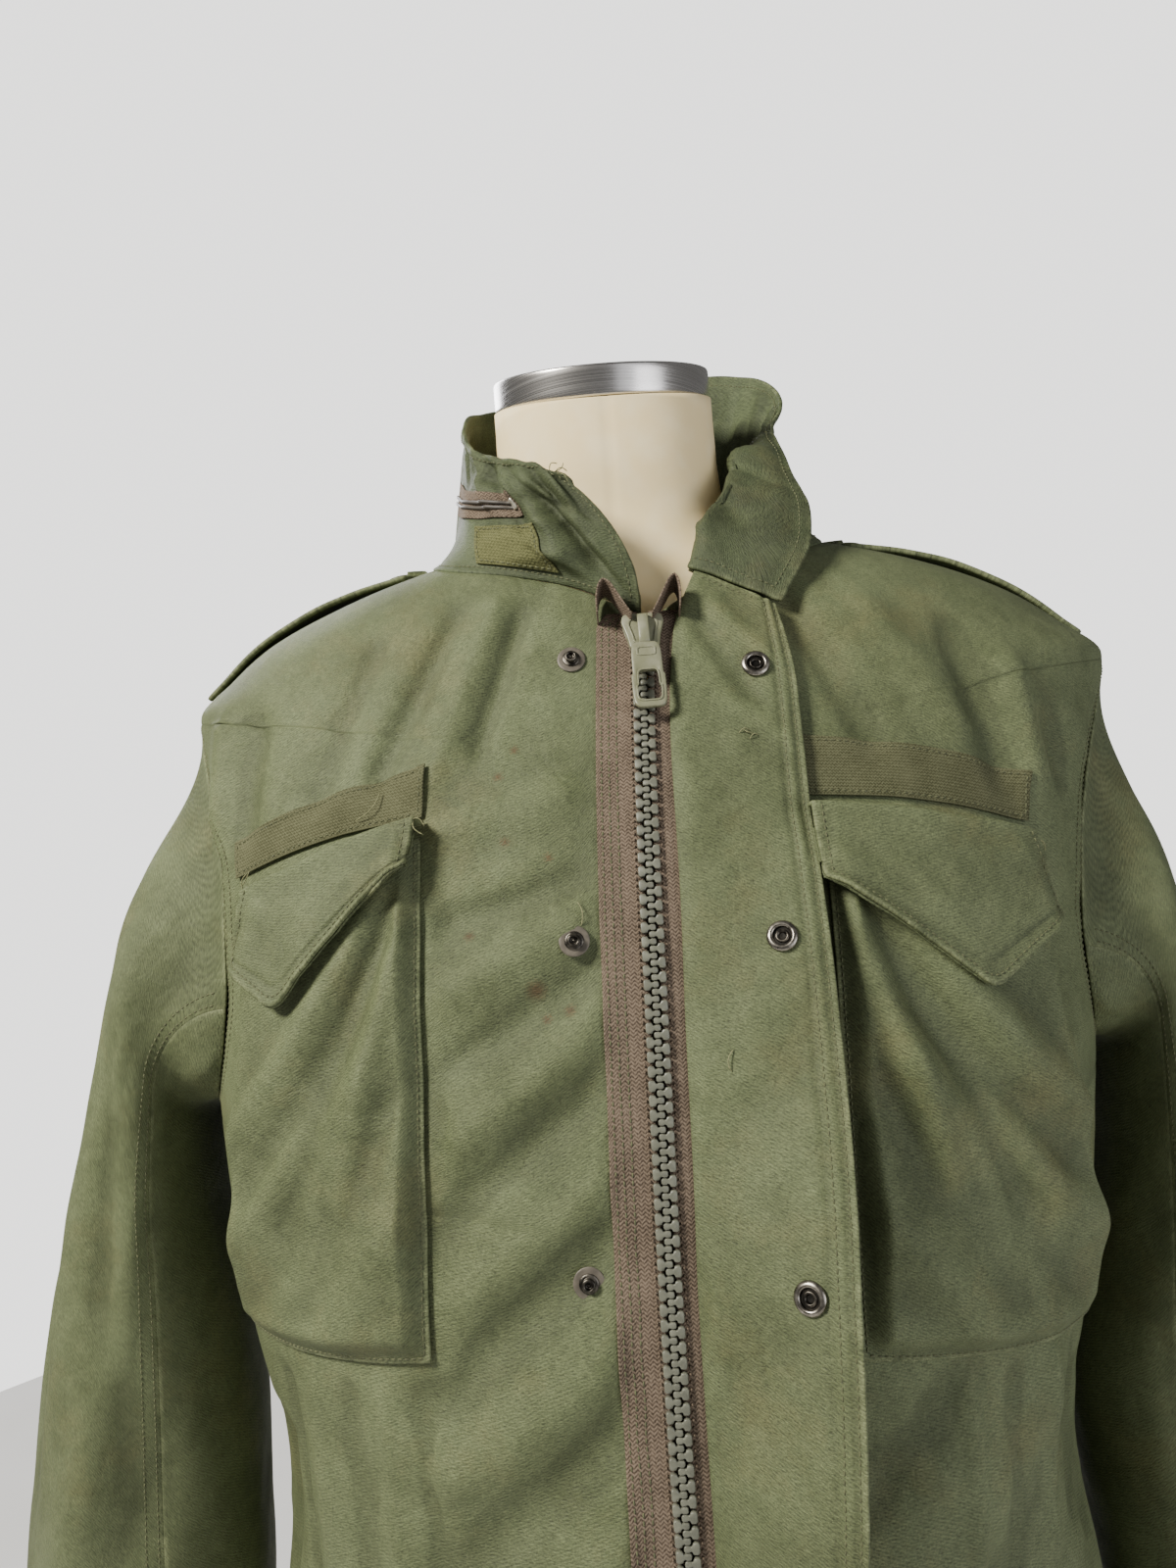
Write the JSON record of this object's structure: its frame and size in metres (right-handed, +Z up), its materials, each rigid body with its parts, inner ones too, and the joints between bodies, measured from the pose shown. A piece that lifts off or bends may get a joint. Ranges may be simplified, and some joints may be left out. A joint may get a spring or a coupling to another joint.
{
  "type": "field jacket on a dress form",
  "caption": "Olive hip-length field jacket with stand collar, folded-back storm flap, zip, snaps and flapped pockets, worn by a limbless dress form on a round base.",
  "frame": {"origin": "centre of the dress form's base, at its underside on the floor", "axes": "+Z up, -Y the way the jacket's front faces, +X the wearer's left"},
  "size_m": [0.726, 0.3886, 1.0133],
  "materials": {
    "olive_cloth": "matte olive green cotton sateen, worn and washed",
    "bare_tape": "ribbed olive webbing tape",
    "loop_pile": "moss green loop pile of a hook-and-loop patch",
    "zip_tape": "taupe brown woven tape",
    "zip_teeth": "grey green enamelled teeth, satin",
    "zip_metal": "olive enamel, satin",
    "snap_dark": "dark brown enamel, worn",
    "snap_bright": "dark bronze ring",
    "button": "olive plastic",
    "form_cover": "cream stretched jersey, smooth",
    "steel": "brushed",
    "form_base_coat": "black powder coat"
  },
  "bodies": {
    "jacket_on_form": {"back": "olive_cloth", "front_right": "olive_cloth", "front_left": "olive_cloth", "top_sleeve_right": "olive_cloth", "top_sleeve_left": "olive_cloth", "under_sleeve_right": "olive_cloth", "under_sleeve_left": "olive_cloth", "collar": "olive_cloth", "storm_flap": "olive_cloth", "chest_pocket_right": "olive_cloth", "chest_pocket_left": "olive_cloth", "chest_flap_right": "olive_cloth", "chest_flap_left": "olive_cloth", "lower_pocket_right": "olive_cloth", "lower_pocket_left": "olive_cloth", "lower_flap_right": "olive_cloth", "lower_flap_left": "olive_cloth", "shoulder_strap_right": "olive_cloth", "shoulder_strap_left": "olive_cloth", "chest_tape_right": "bare_tape", "chest_tape_left": "bare_tape", "collar_patch": "loop_pile", "collar_zip": "zip_tape", "zip_tape_right": "zip_tape", "zip_tape_left": "zip_tape", "zip_chain": "zip_teeth", "zip_slider": "zip_metal", "strap_button_right": "button", "strap_button_left": "button", "form_torso": "form_cover", "form_neck_ring": "steel", "form_neck_cap": "form_base_coat", "form_pole": "steel", "form_base": "form_base_coat", "snap_stud_1": "snap_dark", "snap_socket_1": "snap_bright", "snap_stud_2": "snap_dark", "snap_socket_2": "snap_bright", "snap_stud_3": "snap_dark", "snap_socket_3": "snap_bright", "snap_stud_4": "snap_dark", "snap_socket_4": "snap_bright", "snap_stud_5": "snap_dark", "snap_socket_5": "snap_bright"},
    "zip_pull": {"zip_pull": "zip_metal"}
  },
  "joints": [
    {"name": "zip_pull_hinge", "type": "hinge", "parent": "jacket_on_form", "child": "zip_pull", "pos_m": [0.00787, -0.11173, 0.82432], "axis": [-1, 0, 0], "range_deg": [0, 110]}
  ]
}
